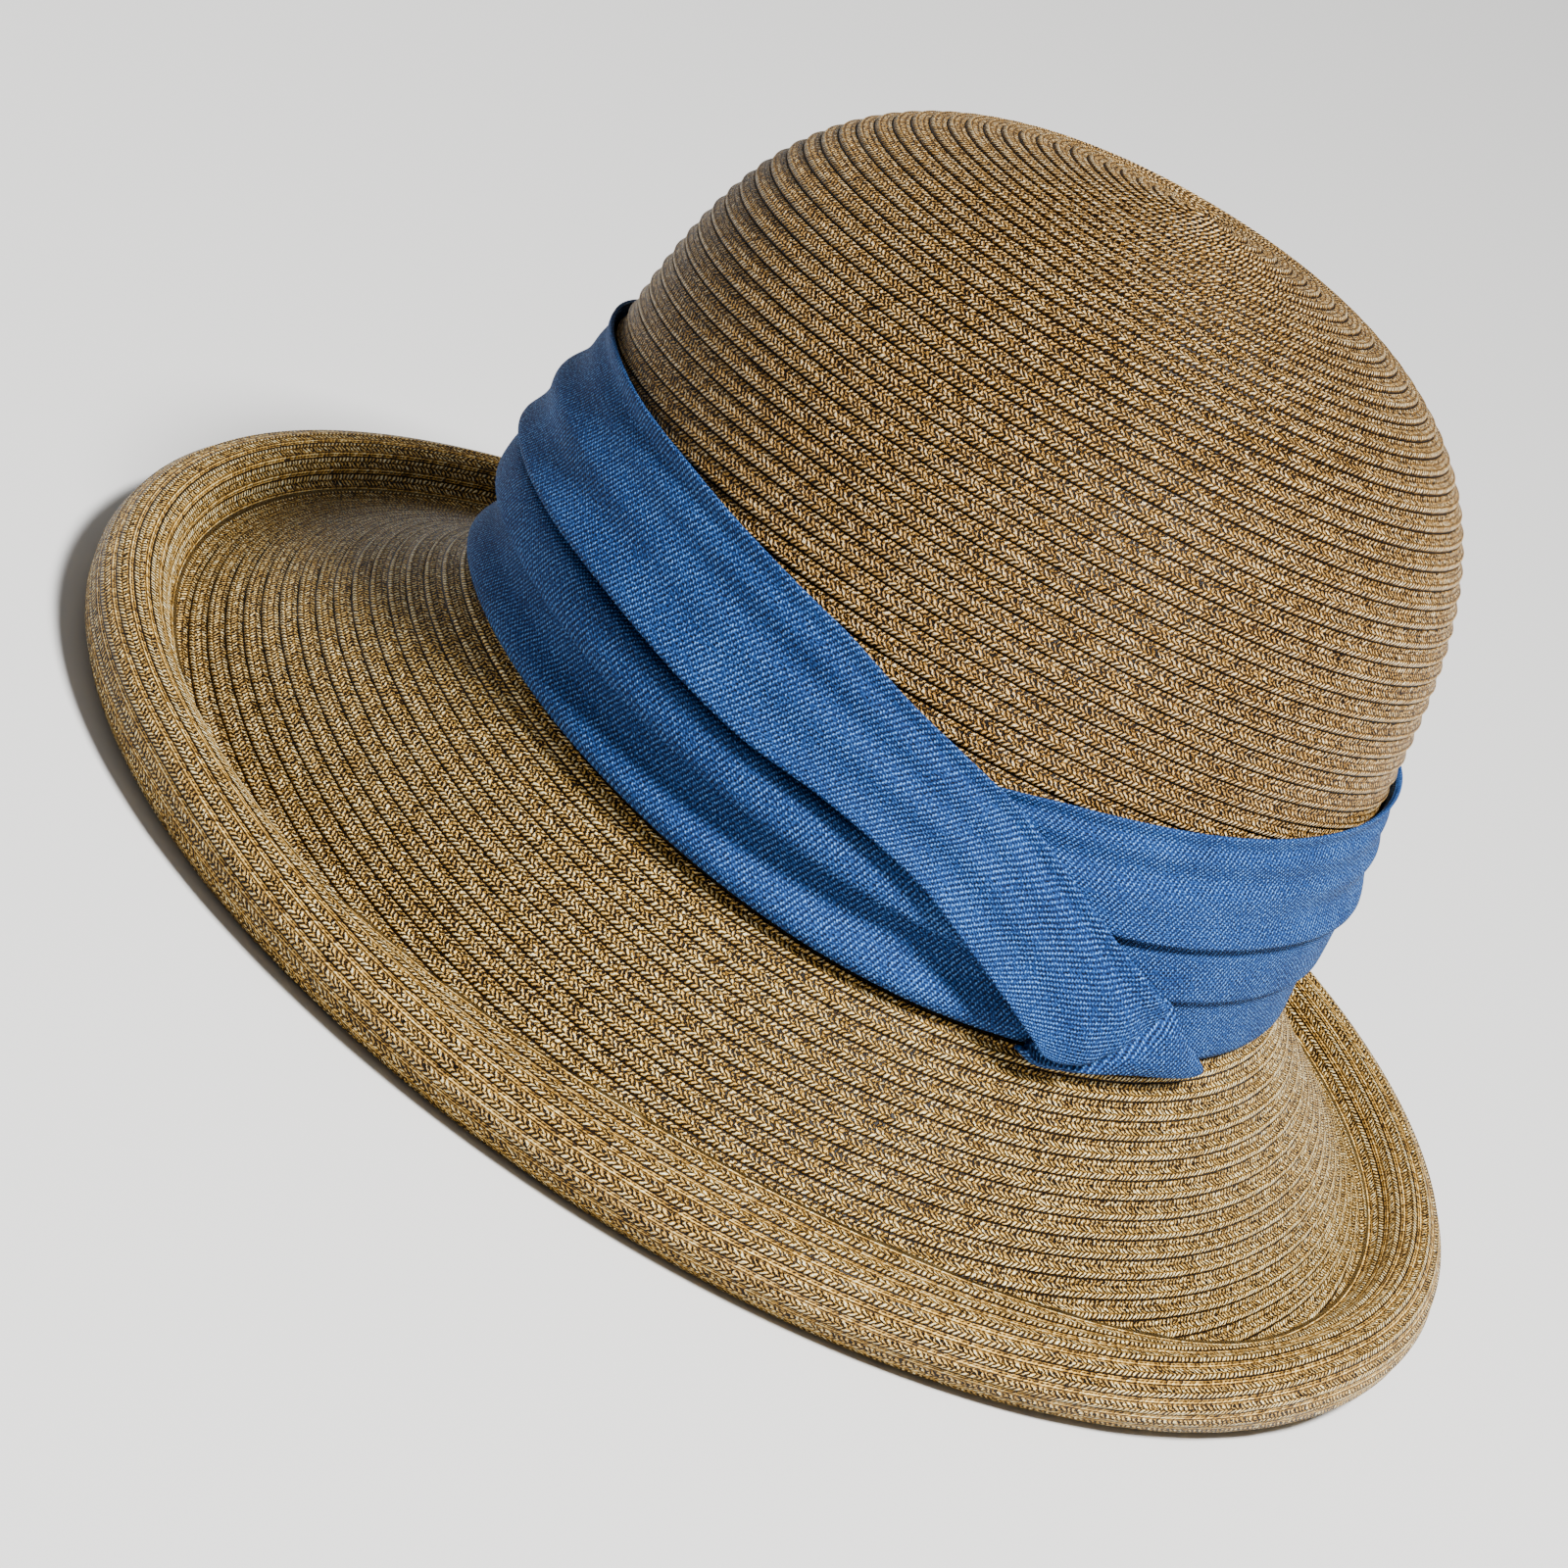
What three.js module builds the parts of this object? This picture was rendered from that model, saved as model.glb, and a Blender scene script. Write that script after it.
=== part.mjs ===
// Straw bucket hat with a domed crown, a rolled brim and a pleated cloth band.
// Millimetres, +Z up. The wearer faces -Y, with the left ear towards +X.
// The hat stands on the rolled edge of its brim, and the middle of the rim is over the origin.
import * as THREE from 'three';
import { mergeVertices } from 'three/addons/utils/BufferGeometryUtils.js';

// Walls and clearances
const strawWall = 2.0; // sewn straw braid
const clothWall = 1.0; // folded band cloth
const seamGap = 0.3; // clearance where two pieces meet
const segments = 60; // facets round the hat

// Crown: its outer face is an oval dome, measured square to its own leaning base plane
const headHalfLength = 100; // front to back at the head line
const headHalfWidth = 86; // ear to ear at the head line
const crownHeight = 129.7; // base plane to the tip
const crownLean = 9.5; // degrees that the dome leans to the front
const crownTaper = 0.05; // share by which the walls draw in up to the tip
const crownShoulder = 5.28; // how late the wall turns in: higher is squarer
const crownRoundness = 2.37; // how full the top is: higher is flatter
const headBack = 19; // the head's middle lies this far behind the rim's middle
const headLevel = 43; // base plane above the surface that the hat stands on

// Head line: where the band's lower edge lies on the crown, from the base plane
const joinLevel = 3.0;
const joinBackDrop = 4.4; // lower at the back by this much, higher at the front
const joinSideRise = 4.8; // higher at the ears by this much, lower front and back
const joinDrop = 0.5; // the crown's edge sits this far below the band's lower edge

// Rolled edge of the brim
const rimHalfWidth = 139; // middle of the roll, ear to ear
const rimHalfLength = 148; // middle of the roll, front to back
const rollRadius = 8.3; // outer face of the roll
const rollTuck = 35; // degrees that the edge is tucked in past the lowest point
const footAngle = 18; // degrees of the roll that stand flat
const valleyIn = 9.0; // the brim meets the roll this far inside the roll's middle
const valleyUp = 1.0; // and this far above it
const backValleyIn = 6.4; // the same two at the back, where the brim flares out
const backValleyUp = 10.2;
const valleyBend = 6.0; // length over which the brim turns into the roll

// Cloth band: three folds laid round the crown
const bandHeight = 53; // head line to the upper edge
const foldDepth = 5.8; // how far the fullest fold stands off the straw
const knotDepth = 7.0; // how far the crossing end stands off the straw
const lowerFlat = 1.4; // outer face of the lower fold where it lies flat
const middleFlat = 2.7; // outer face of the middle fold where it lies flat

const straw = new THREE.MeshStandardMaterial({ color: 0xa8895a, roughness: 0.75, metalness: 0 });
const cloth = new THREE.MeshStandardMaterial({ color: 0x2f5c96, roughness: 0.8, metalness: 0 });

// A smooth curve through the rows of a table, read by the table's first column
function follow(rows) {
  const names = Object.keys(rows[0]);
  const values = rows.flatMap((row) => names.map((name) => row[name]));
  const curve = new THREE.CubicInterpolant(rows.map((row) => row[names[0]]), values, names.length);
  return (at) => {
    const found = curve.evaluate(at);
    return Object.fromEntries(names.map((name, i) => [name, found[i]]));
  };
}

// Moves every vertex of a plain geometry to its place on the hat and closes its seams
function place(geometry, toPoint) {
  const position = geometry.attributes.position;
  const uv = geometry.attributes.uv;
  const before = new THREE.Vector3();
  for (let i = 0; i < position.count; i++) {
    before.fromBufferAttribute(position, i);
    const point = toPoint(before, uv.getX(i), uv.getY(i));
    position.setXYZ(i, point.x, point.y, point.z);
  }
  geometry.deleteAttribute('normal');
  geometry.deleteAttribute('uv');
  const solid = mergeVertices(geometry, 1e-4);
  const index = Array.from(solid.index.array);
  const faces = [];
  for (let i = 0; i < index.length; i += 3) {
    const [a, b, c] = index.slice(i, i + 3);
    if (a !== b && b !== c && c !== a) faces.push(a, b, c);
  }
  solid.setIndex(signedVolume(solid, faces) < 0 ? faces.reverse() : faces);
  solid.computeVertexNormals();
  return solid;
}

function signedVolume(geometry, faces) {
  const corner = [0, 1, 2].map(() => new THREE.Vector3());
  let volume = 0;
  for (let i = 0; i < faces.length; i += 3) {
    corner.forEach((point, k) => point.fromBufferAttribute(geometry.attributes.position, faces[i + k]));
    volume += corner[0].dot(corner[1].cross(corner[2])) / 6;
  }
  return volume;
}

function mesh(name, geometry, material) {
  const piece = new THREE.Mesh(geometry, material.clone());
  piece.name = name;
  return piece;
}

// Crown frame: angles run round the head from the wearer's left ear, through the back
const leanAxis = new THREE.Vector3(1, 0, 0);
const headMiddle = new THREE.Vector3(0, headBack, headLevel);

function crownShare(height, full) {
  const up = THREE.MathUtils.clamp(height / full, 0, 1);
  return (1 - crownTaper * up) * Math.pow(1 - Math.pow(up, crownShoulder), 1 / crownRoundness);
}

function headPoint(angle, halfWidth, halfLength, height) {
  const point = new THREE.Vector3(halfWidth * Math.cos(angle), halfLength * Math.sin(angle), height);
  return point.applyAxisAngle(leanAxis, THREE.MathUtils.degToRad(crownLean)).add(headMiddle);
}

// A point a given distance out from the crown's outer face
function crownPoint(angle, height, out) {
  const share = crownShare(height, crownHeight);
  return headPoint(angle, headHalfWidth * share + out, headHalfLength * share + out, height);
}

function joinLine(angle) {
  return joinLevel - joinBackDrop * Math.sin(angle) + joinSideRise * Math.cos(2 * angle);
}

// Crown: a lathed dome, outer face down to the head line and inner face back up
function makeCrown() {
  const turns = 12;
  const wallSteps = [0, 0.25];
  const shoulderSteps = Array.from({ length: turns }, (_, i) => {
    const turn = ((i + 1) / turns) * (Math.PI / 2);
    return Math.pow(Math.sin(turn), 2 / crownShoulder);
  });
  const steps = [...wallSteps, ...shoulderSteps];
  const count = steps.length * 2;
  const profile = Array.from({ length: count }, (_, i) => {
    const inner = i < steps.length;
    const up = inner ? steps[steps.length - 1 - i] : steps[i - steps.length];
    const radius = up === 1 ? 0 : inner ? 1 : 2;
    return new THREE.Vector2(radius, up);
  });
  return place(new THREE.LatheGeometry(profile, segments), (before, u, v) => {
    const i = Math.round(v * (count - 1));
    const angle = u * 2 * Math.PI;
    const inset = i < steps.length ? strawWall : 0;
    const up = i < steps.length ? steps[steps.length - 1 - i] : steps[i - steps.length];
    const full = crownHeight - inset;
    const height = up === 0 ? joinLine(angle) - joinDrop : up * full;
    const share = up === 1 ? 0 : crownShare(height, full);
    return headPoint(angle, (headHalfWidth - inset) * share, (headHalfLength - inset) * share, height);
  });
}

// Brim: one section from the head line down to the roll, as distance out and height
function backShare(angle) {
  const turnedBack = Math.sin(THREE.MathUtils.degToRad(30));
  return Math.pow(Math.max(0, (Math.sin(angle) - turnedBack) / (1 - turnedBack)), 1.5);
}

const footHalf = THREE.MathUtils.degToRad(footAngle / 2);
const rollLevel = rollRadius * Math.cos(footHalf);
const slopeSteps = 2;
const bendSteps = 3;
const rollSteps = 8;

function brimSection(start, reach, back) {
  const middle = new THREE.Vector2(reach, rollLevel);
  const inset = THREE.MathUtils.lerp(valleyIn, backValleyIn, back);
  const lift = THREE.MathUtils.lerp(valleyUp, backValleyUp, back);
  const valley = new THREE.Vector2(reach - inset, rollLevel + lift);
  const toMiddle = middle.clone().sub(valley);
  const rise = toMiddle.angle() + Math.asin(rollRadius / toMiddle.length());
  const first = rise + Math.PI / 2 - 2 * Math.PI * Math.round(rise / (2 * Math.PI));
  const onRoll = (turn) => new THREE.Vector2(Math.cos(turn), Math.sin(turn)).multiplyScalar(rollRadius).add(middle);
  const top = new THREE.Vector2(0, start);
  const slope = valley.clone().sub(top);
  const bendStart = valley.clone().addScaledVector(slope.clone().normalize(), -valleyBend);
  const bend = new THREE.QuadraticBezierCurve(bendStart, valley, onRoll(first));
  const slopePoints = new THREE.LineCurve(top, bendStart).getPoints(slopeSteps).slice(0, -1);
  const last = -Math.PI / 2 + footHalf;
  const rollPoints = Array.from({ length: rollSteps }, (_, i) => onRoll(first + ((last - first) * (i + 1)) / rollSteps));
  const tuck = THREE.MathUtils.degToRad(rollTuck);
  return [...slopePoints, ...bend.getPoints(bendSteps), ...rollPoints,
    onRoll(-Math.PI / 2 - footHalf), onRoll(-Math.PI / 2 - tuck)];
}

// The same section a wall's thickness below
function underside(points) {
  return points.map((point, i) => {
    const before = points[Math.max(i - 1, 0)];
    const after = points[Math.min(i + 1, points.length - 1)];
    const along1 = (i === 0 ? after.clone().sub(point) : point.clone().sub(before)).normalize();
    const along2 = (i === points.length - 1 ? point.clone().sub(before) : after.clone().sub(point)).normalize();
    const along = along1.clone().add(along2).normalize();
    const spread = strawWall / along.dot(along1);
    return new THREE.Vector2(point.x + along.y * spread, point.y - along.x * spread);
  });
}

function makeBrim() {
  const pointCount = slopeSteps + bendSteps + 1 + rollSteps + 2;
  const loopCount = 2 * pointCount;
  const sections = Array.from({ length: segments }, (_, i) => {
    const angle = (i / segments) * 2 * Math.PI;
    const edgeHeight = joinLine(angle) - joinDrop - seamGap;
    const head = crownPoint(angle, edgeHeight, 0);
    const roll = new THREE.Vector3(rimHalfWidth * Math.cos(angle), rimHalfLength * Math.sin(angle), rollLevel);
    const outward = new THREE.Vector3(roll.x - head.x, roll.y - head.y, 0);
    const reach = outward.length();
    outward.normalize();
    const upper = brimSection(head.z, reach, backShare(angle));
    const lower = underside(upper).reverse();
    const loop = [...upper, ...lower].map((point) => {
      return new THREE.Vector3(head.x, head.y, point.y).addScaledVector(outward, point.x);
    });
    loop[loopCount - 1] = crownPoint(angle, edgeHeight, -strawWall);
    return loop;
  });
  return place(new THREE.TorusGeometry(2, 1, loopCount, segments), (before, u, v) => {
    return sections[Math.round(u * segments) % segments][Math.round(v * loopCount) % loopCount];
  });
}

// Band: a point of cloth by angle, height above the head line and distance out from the straw
function bandPoint(angle, up, out) {
  return crownPoint(angle, joinLine(angle) + up, out);
}

// How full the lower two folds are round the head: full on the left, flat from the knot onwards
const fullness = follow([
  { angle: -60, full: 1 },
  { angle: 60, full: 1 },
  { angle: 92, full: 0.9 },
  { angle: 112, full: 0.25 },
  { angle: 135, full: 0.15 },
  { angle: 210, full: 0.2 },
  { angle: 285, full: 0.9 },
  { angle: 300, full: 1 },
]);

function fullAt(angle) {
  const degrees = THREE.MathUtils.radToDeg(angle);
  return fullness(degrees > 300 ? degrees - 360 : degrees).full;
}

// Fold sections: height in shares of the band's height, stand-off in shares of the fold depth
const lowerFold = [
  { up: 0.34, out: 0.243 },
  { up: 0.245, out: 0.25 },
  { up: 0.16, out: 0.26 },
  { up: 0.09, out: 0.48 },
  { up: 0.04, out: 0.57 },
  { up: 0.0, out: 0.46 },
];
const middleFold = [
  { up: 0.5, out: 0.42 },
  { up: 0.455, out: 0.5 },
  { up: 0.4, out: 0.7 },
  { up: 0.34, out: 0.87 },
  { up: 0.285, out: 0.88 },
  { up: 0.255, out: 0.72 },
];

// A fold that runs all the way round, as a bent wall of cloth
function makeFoldRing(section, flat) {
  const loopCount = 2 * section.length;
  return place(new THREE.TorusGeometry(2, 1, loopCount, segments), (before, u, v) => {
    const i = Math.round(v * loopCount) % loopCount;
    const outer = i < section.length;
    const row = section[outer ? i : loopCount - 1 - i];
    const angle = (u % 1) * 2 * Math.PI;
    const out = THREE.MathUtils.lerp(flat, row.out * foldDepth, fullAt(angle));
    return bandPoint(angle, row.up * bandHeight, outer ? out : out - clothWall);
  });
}

// Upper fold, from under the knot round the front and back over it to its squared end.
// Angles in degrees, heights and the squared end's bow in shares of the band's height, stand-offs
// in shares of the knot depth
const upperFold = follow([
  { run: 92, lowAngle: 92, lowUp: 0.5, topAngle: 92, topUp: 0.79, lowOut: 0.7, topOut: 0.23, bow: 0 },
  { run: 101, lowAngle: 101, lowUp: 0.475, topAngle: 101, topUp: 0.838, lowOut: 0.67, topOut: 0.23, bow: 0 },
  { run: 115, lowAngle: 115, lowUp: 0.465, topAngle: 115, topUp: 0.872, lowOut: 0.62, topOut: 0.23, bow: 0 },
  { run: 145, lowAngle: 145, lowUp: 0.485, topAngle: 145, topUp: 0.9, lowOut: 0.6, topOut: 0.23, bow: 0 },
  { run: 210, lowAngle: 210, lowUp: 0.48, topAngle: 210, topUp: 0.92, lowOut: 0.61, topOut: 0.23, bow: 0 },
  { run: 300, lowAngle: 300, lowUp: 0.47, topAngle: 300, topUp: 0.95, lowOut: 0.78, topOut: 0.23, bow: 0 },
  { run: 380, lowAngle: 380, lowUp: 0.466, topAngle: 380, topUp: 0.956, lowOut: 0.78, topOut: 0.23, bow: 0 },
  { run: 400, lowAngle: 400, lowUp: 0.475, topAngle: 400, topUp: 0.975, lowOut: 0.78, topOut: 0.23, bow: 0 },
  { run: 424, lowAngle: 423, lowUp: 0.452, topAngle: 426, topUp: 0.955, lowOut: 0.83, topOut: 0.29, bow: 0 },
  { run: 436, lowAngle: 434, lowUp: 0.462, topAngle: 438, topUp: 0.89, lowOut: 0.88, topOut: 0.42, bow: 0 },
  { run: 446, lowAngle: 443, lowUp: 0.432, topAngle: 449, topUp: 0.82, lowOut: 0.95, topOut: 0.58, bow: 0 },
  { run: 454, lowAngle: 450, lowUp: 0.375, topAngle: 456, topUp: 0.755, lowOut: 0.98, topOut: 0.74, bow: 0 },
  { run: 462, lowAngle: 457, lowUp: 0.27, topAngle: 464, topUp: 0.625, lowOut: 0.96, topOut: 0.86, bow: 0 },
  { run: 470, lowAngle: 463, lowUp: 0.17, topAngle: 473, topUp: 0.468, lowOut: 0.93, topOut: 0.9, bow: 0.01 },
  { run: 478, lowAngle: 469, lowUp: 0.06, topAngle: 481.5, topUp: 0.32, lowOut: 0.88, topOut: 0.9, bow: 0.05 },
  { run: 482, lowAngle: 471, lowUp: 0.02, topAngle: 484, topUp: 0.275, lowOut: 0.86, topOut: 0.88, bow: 0.085 },
  { run: 484, lowAngle: 471.8, lowUp: 0.012, topAngle: 484.8, topUp: 0.25, lowOut: 0.84, topOut: 0.86, bow: 0.1 },
]);
const foldHollow = 1.6; // how quickly the fold falls back to the straw above its lower edge

function makeUpperFold() {
  const along = 74;
  const across = 5;
  const firstRun = 92;
  const lastRun = 484;
  return place(new THREE.BoxGeometry(1, 1, 1, along, across, 1), (before) => {
    const at = upperFold(firstRun + (before.x + 0.5) * (lastRun - firstRun));
    const share = before.y + 0.5;
    const degrees = THREE.MathUtils.lerp(at.lowAngle, at.topAngle, share);
    const bow = 4 * at.bow * share * (1 - share);
    const up = (THREE.MathUtils.lerp(at.lowUp, at.topUp, share) - bow) * bandHeight;
    const out = THREE.MathUtils.lerp(at.topOut, at.lowOut, Math.pow(1 - share, foldHollow)) * knotDepth;
    const wall = before.z > 0 ? 0 : clothWall;
    return bandPoint(THREE.MathUtils.degToRad(degrees), up, out - wall);
  });
}

// The other end of the cloth, wrapped up round the squared end and showing as a triangle.
// Its inner edge is tucked in under the squared end, and its outer edge comes to a point past it
const wrapEnd = follow([
  { run: 0, innerAngle: 108.5, innerUp: 0, outerAngle: 107.5, outerUp: -0.012, out: 0.78 },
  { run: 0.2, innerAngle: 112.5, innerUp: -0.008, outerAngle: 112.5, outerUp: -0.056, out: 0.81 },
  { run: 0.4, innerAngle: 116.5, innerUp: -0.004, outerAngle: 118, outerUp: -0.053, out: 0.82 },
  { run: 0.6, innerAngle: 120.6, innerUp: 0.045, outerAngle: 126.5, outerUp: -0.022, out: 0.82 },
  { run: 0.8, innerAngle: 123.6, innerUp: 0.125, outerAngle: 138.6, outerUp: -0.008, out: 0.82 },
  { run: 0.9, innerAngle: 125.4, innerUp: 0.195, outerAngle: 132, outerUp: 0.13, out: 0.82 },
  { run: 1, innerAngle: 125.7, innerUp: 0.27, outerAngle: 126.6, outerUp: 0.28, out: 0.82 },
]);
const wrapFall = 0.15; // share by which the wrap's outer edge drops towards the straw
const wrapTuck = 1.2; // how far its inner edge dips to pass under the squared end
const tuckShare = 0.25; // share of the wrap's width over which it dips

function makeWrapEnd() {
  const along = 12;
  const across = 4;
  return place(new THREE.BoxGeometry(1, 1, 1, along, across, 1), (before) => {
    const at = wrapEnd(before.x + 0.5);
    const share = before.y + 0.5;
    const degrees = THREE.MathUtils.lerp(at.innerAngle, at.outerAngle, share);
    const up = THREE.MathUtils.lerp(at.innerUp, at.outerUp, share) * bandHeight;
    const dip = wrapTuck * Math.max(0, 1 - share / tuckShare);
    const out = at.out * knotDepth * (1 - wrapFall * share) - dip;
    const wall = before.z > 0 ? 0 : clothWall;
    return bandPoint(THREE.MathUtils.degToRad(degrees), up, out - wall);
  });
}

const hat = new THREE.Group();
hat.add(mesh('crown', makeCrown(), straw));
hat.add(mesh('brim', makeBrim(), straw));
hat.add(mesh('band_lower_fold', makeFoldRing(lowerFold, lowerFlat), cloth));
hat.add(mesh('band_middle_fold', makeFoldRing(middleFold, middleFlat), cloth));
hat.add(mesh('band_upper_fold', makeUpperFold(), cloth));
hat.add(mesh('band_wrap_end', makeWrapEnd(), cloth));

export default hat;
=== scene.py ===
import math

import bmesh
import bpy
from mathutils import Matrix, Vector, noise


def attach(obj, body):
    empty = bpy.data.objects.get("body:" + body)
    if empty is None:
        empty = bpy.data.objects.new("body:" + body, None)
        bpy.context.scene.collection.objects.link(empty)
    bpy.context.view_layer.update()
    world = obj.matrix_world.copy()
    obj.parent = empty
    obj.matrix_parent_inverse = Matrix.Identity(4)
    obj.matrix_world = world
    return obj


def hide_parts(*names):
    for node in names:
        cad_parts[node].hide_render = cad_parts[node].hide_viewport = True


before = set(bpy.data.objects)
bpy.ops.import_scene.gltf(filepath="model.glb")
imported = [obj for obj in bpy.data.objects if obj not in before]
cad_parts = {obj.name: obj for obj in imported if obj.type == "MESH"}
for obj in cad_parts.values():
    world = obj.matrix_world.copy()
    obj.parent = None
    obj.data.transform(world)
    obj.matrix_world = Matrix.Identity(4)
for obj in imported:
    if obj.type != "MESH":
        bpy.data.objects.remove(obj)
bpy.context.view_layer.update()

# Crown: one long straw braid, 3.6 mm wide, sewn to itself round and round from the tip
# down. Each round covers the edge of the next, so its cord-like rim stands proud and
# throws a dark line below it. The dome is oval and leans a little to the front.
MM = 0.001
wall = 2.0
head_half_length = 100.0
head_half_width = 86.0
head_mean_radius = 93.0
crown_height = 129.7
crown_lean = math.radians(9.5)
crown_taper = 0.05
crown_shoulder = 5.28
crown_roundness = 2.37
head_middle = Vector((0.0, 19.0, 43.0))
join_level = 3.0
join_back_drop = 4.4
join_side_rise = 4.8
join_drop = 0.5
seam_gap = 0.3
braid_width = 3.62
strand_pitch = 1.2
braid_relief = 0.8
under_band = 30.0
crown_around = 240
inside_steps = 48
dome_steps = 2000
front = -math.pi / 2

# Rows are numbered down the crown from 0. The other faces' rows start at numbers of their own.
inside_first_row = 100
slope_first_row = 200
roll_first_row = 240
under_first_row = 280


def crown_share(height, full):
    up = min(max(height / full, 0.0), 1.0)
    return (1 - crown_taper * up) * (1 - up ** crown_shoulder) ** (1 / crown_roundness)


def head_point(angle, half_width, half_length, height):
    across = half_width * math.cos(angle)
    along = half_length * math.sin(angle)
    lean = Matrix.Rotation(crown_lean, 3, "X")
    return lean @ Vector((across, along, height)) + head_middle


def crown_point(angle, height, out):
    share = crown_share(height, crown_height)
    across = head_half_width * share + out
    along = head_half_length * share + out
    return head_point(angle, across, along, height)


def join_line(angle):
    return join_level - join_back_drop * math.sin(angle) + join_side_rise * math.cos(2 * angle)


# One braid in section, from its top edge (0) to its bottom edge (1): place, how proud it is
braid_section = [
    (0.0, 0.0),
    (0.08, 0.4),
    (0.44, 0.5),
    (0.58, 0.66),
    (0.76, 1.0),
    (0.93, 0.7),
    (1.0, 0.0),
]


def braid_rise(rows):
    at = rows % 1.0
    for (at0, rise0), (at1, rise1) in zip(braid_section, braid_section[1:]):
        if at <= at1:
            return rise0 + (rise1 - rise0) * (at - at0) / (at1 - at0)
    return 0.0


def straw_piece(name, around, across, place, node_name):
    """A grid laid on the hat: place gives each corner's point in mm and its place in the braid."""
    shape = bmesh.new()
    bmesh.ops.create_grid(shape, x_segments=around, y_segments=across, size=0.5)
    pattern = shape.loops.layers.uv.new("braid")
    spots = {}
    for corner in shape.verts:
        i = round((corner.co.x + 0.5) * around)
        j = round((corner.co.y + 0.5) * across)
        point, spot = place(i, j)
        corner.co = point * MM
        spots[corner] = spot
    for face in shape.faces:
        middle = sum(spots[corner][1] for corner in face.verts) / len(face.verts)
        for loop in face.loops:
            angle, row, radius = spots[loop.vert]
            loop[pattern].uv = (angle * radius(math.floor(middle)), row)
        face.smooth = True
    bmesh.ops.remove_doubles(shape, verts=shape.verts, dist=1e-6)
    bmesh.ops.dissolve_degenerate(shape, edges=shape.edges, dist=1e-7)
    loose = [edge for edge in shape.edges if not edge.link_faces]
    bmesh.ops.delete(shape, geom=loose, context="EDGES")
    bmesh.ops.recalc_face_normals(shape, faces=shape.faces)
    mesh = bpy.data.meshes.new(name)
    shape.to_mesh(mesh)
    shape.free()
    piece = bpy.data.objects.new(name, mesh)
    bpy.context.scene.collection.objects.link(piece)
    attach(piece, "root")
    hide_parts(node_name)
    return piece


# How far down the dome each height lies, measured over the straw from the tip
profile = []
travelled = 0.0
for step in range(dome_steps + 1):
    turn = math.pi / 2 * (1 - step / dome_steps)
    height = crown_height * math.sin(turn) ** (2 / crown_shoulder)
    radius = head_mean_radius * crown_share(height, crown_height)
    if profile:
        travelled += math.dist((radius, height), profile[-1][1:])
    profile.append((travelled, radius, height))
crown_rows = math.ceil(travelled / braid_width) - 1
row_marks = [0.0, 0.08, 0.44, 0.6, 0.77, 0.93]
crown_marks = [row + mark for row in range(crown_rows) for mark in row_marks]
crown_marks.append(float(crown_rows))


def profile_at(distance):
    low, high = 0, len(profile) - 1
    while high - low > 1:
        middle = (low + high) // 2
        if profile[middle][0] <= distance:
            low = middle
        else:
            high = middle
    start, radius, height = profile[low]
    end, next_radius, next_height = profile[high]
    share = (distance - start) / max(end - start, 1e-9)
    slope = Vector((next_radius - radius, next_height - height)).normalized()
    return radius + share * (next_radius - radius), height + share * (next_height - height), slope


def whole_strands(radius):
    """The nearest radius that takes a whole number of strands round the hat."""
    around = max(6, round(2 * math.pi * radius / strand_pitch))
    return around * strand_pitch / (2 * math.pi)


def crown_radius(row):
    middle = min(max(row + 0.5, 0) * braid_width, travelled)
    return whole_strands(profile_at(middle)[0])


crown_places = [("inside", k / inside_steps) for k in range(inside_steps, -1, -1)]
crown_places += [("outside", mark) for mark in crown_marks]
crown_profile = [profile_at(min(mark * braid_width, travelled)) for mark in crown_marks]


def crown_place(i, j):
    angle = front + 2 * math.pi * i / crown_around
    lowest = join_line(angle) - join_drop
    side, mark = crown_places[j]
    if side == "inside":
        full = crown_height - wall
        turn = (1 - mark) * math.pi / 2
        height = full * math.sin(turn) ** (2 / crown_shoulder)
        height = lowest + (full - lowest) * height / full
        share = crown_share(height, full) if mark > 0 else 0.0
        across = (head_half_width - wall) * share
        along = (head_half_length - wall) * share
        row = mark * crown_rows + inside_first_row
        return head_point(angle, across, along, height), (angle, row, crown_radius)
    radius, height, slope = crown_profile[j - inside_steps - 1]
    if height < under_band:
        last = crown_profile[-1][1]
        height = lowest + (under_band - lowest) * (height - last) / (under_band - last)
    proud = (braid_rise(mark) - 1) * braid_relief
    share = radius / head_mean_radius if mark > 0 else 0.0
    grow = -slope.y * proud if share > 0 else 0.0
    across = head_half_width * share + grow
    along = head_half_length * share + grow
    point = head_point(angle, across, along, height + slope.x * proud)
    return point, (angle, mark, crown_radius)


crown_stops = len(crown_places)
crown = straw_piece("crown_braid", crown_around, crown_stops,
                    lambda i, j: crown_place(i, j % crown_stops), "crown")


def linear(colour):
    """sRGB hex to linear, with full opacity."""
    parts = [int(colour[i:i + 2], 16) / 255 for i in (1, 3, 5)]
    light = [p / 12.92 if p <= 0.04045 else ((p + 0.055) / 1.055) ** 2.4 for p in parts]
    return light + [1.0]


def node(tree, kind, links=(), **settings):
    """Adds a node, sets its properties and plain inputs, and links the inputs named in links."""
    made = tree.nodes.new(kind)
    for name, value in settings.items():
        if name.startswith("in_"):
            key = name[3:].replace("_", " ")
            made.inputs[int(key) if key.isdigit() else key].default_value = value
        else:
            setattr(made, name, value)
    for target, source in dict(links).items():
        tree.links.new(source, made.inputs[target])
    return made


def sums(tree, operation, *values):
    """A maths node on sockets and numbers."""
    made = tree.nodes.new("ShaderNodeMath")
    made.operation = operation
    for i, value in enumerate(values):
        if isinstance(value, (int, float)):
            made.inputs[i].default_value = value
        else:
            tree.links.new(value, made.inputs[i])
    return made.outputs[0]


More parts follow.
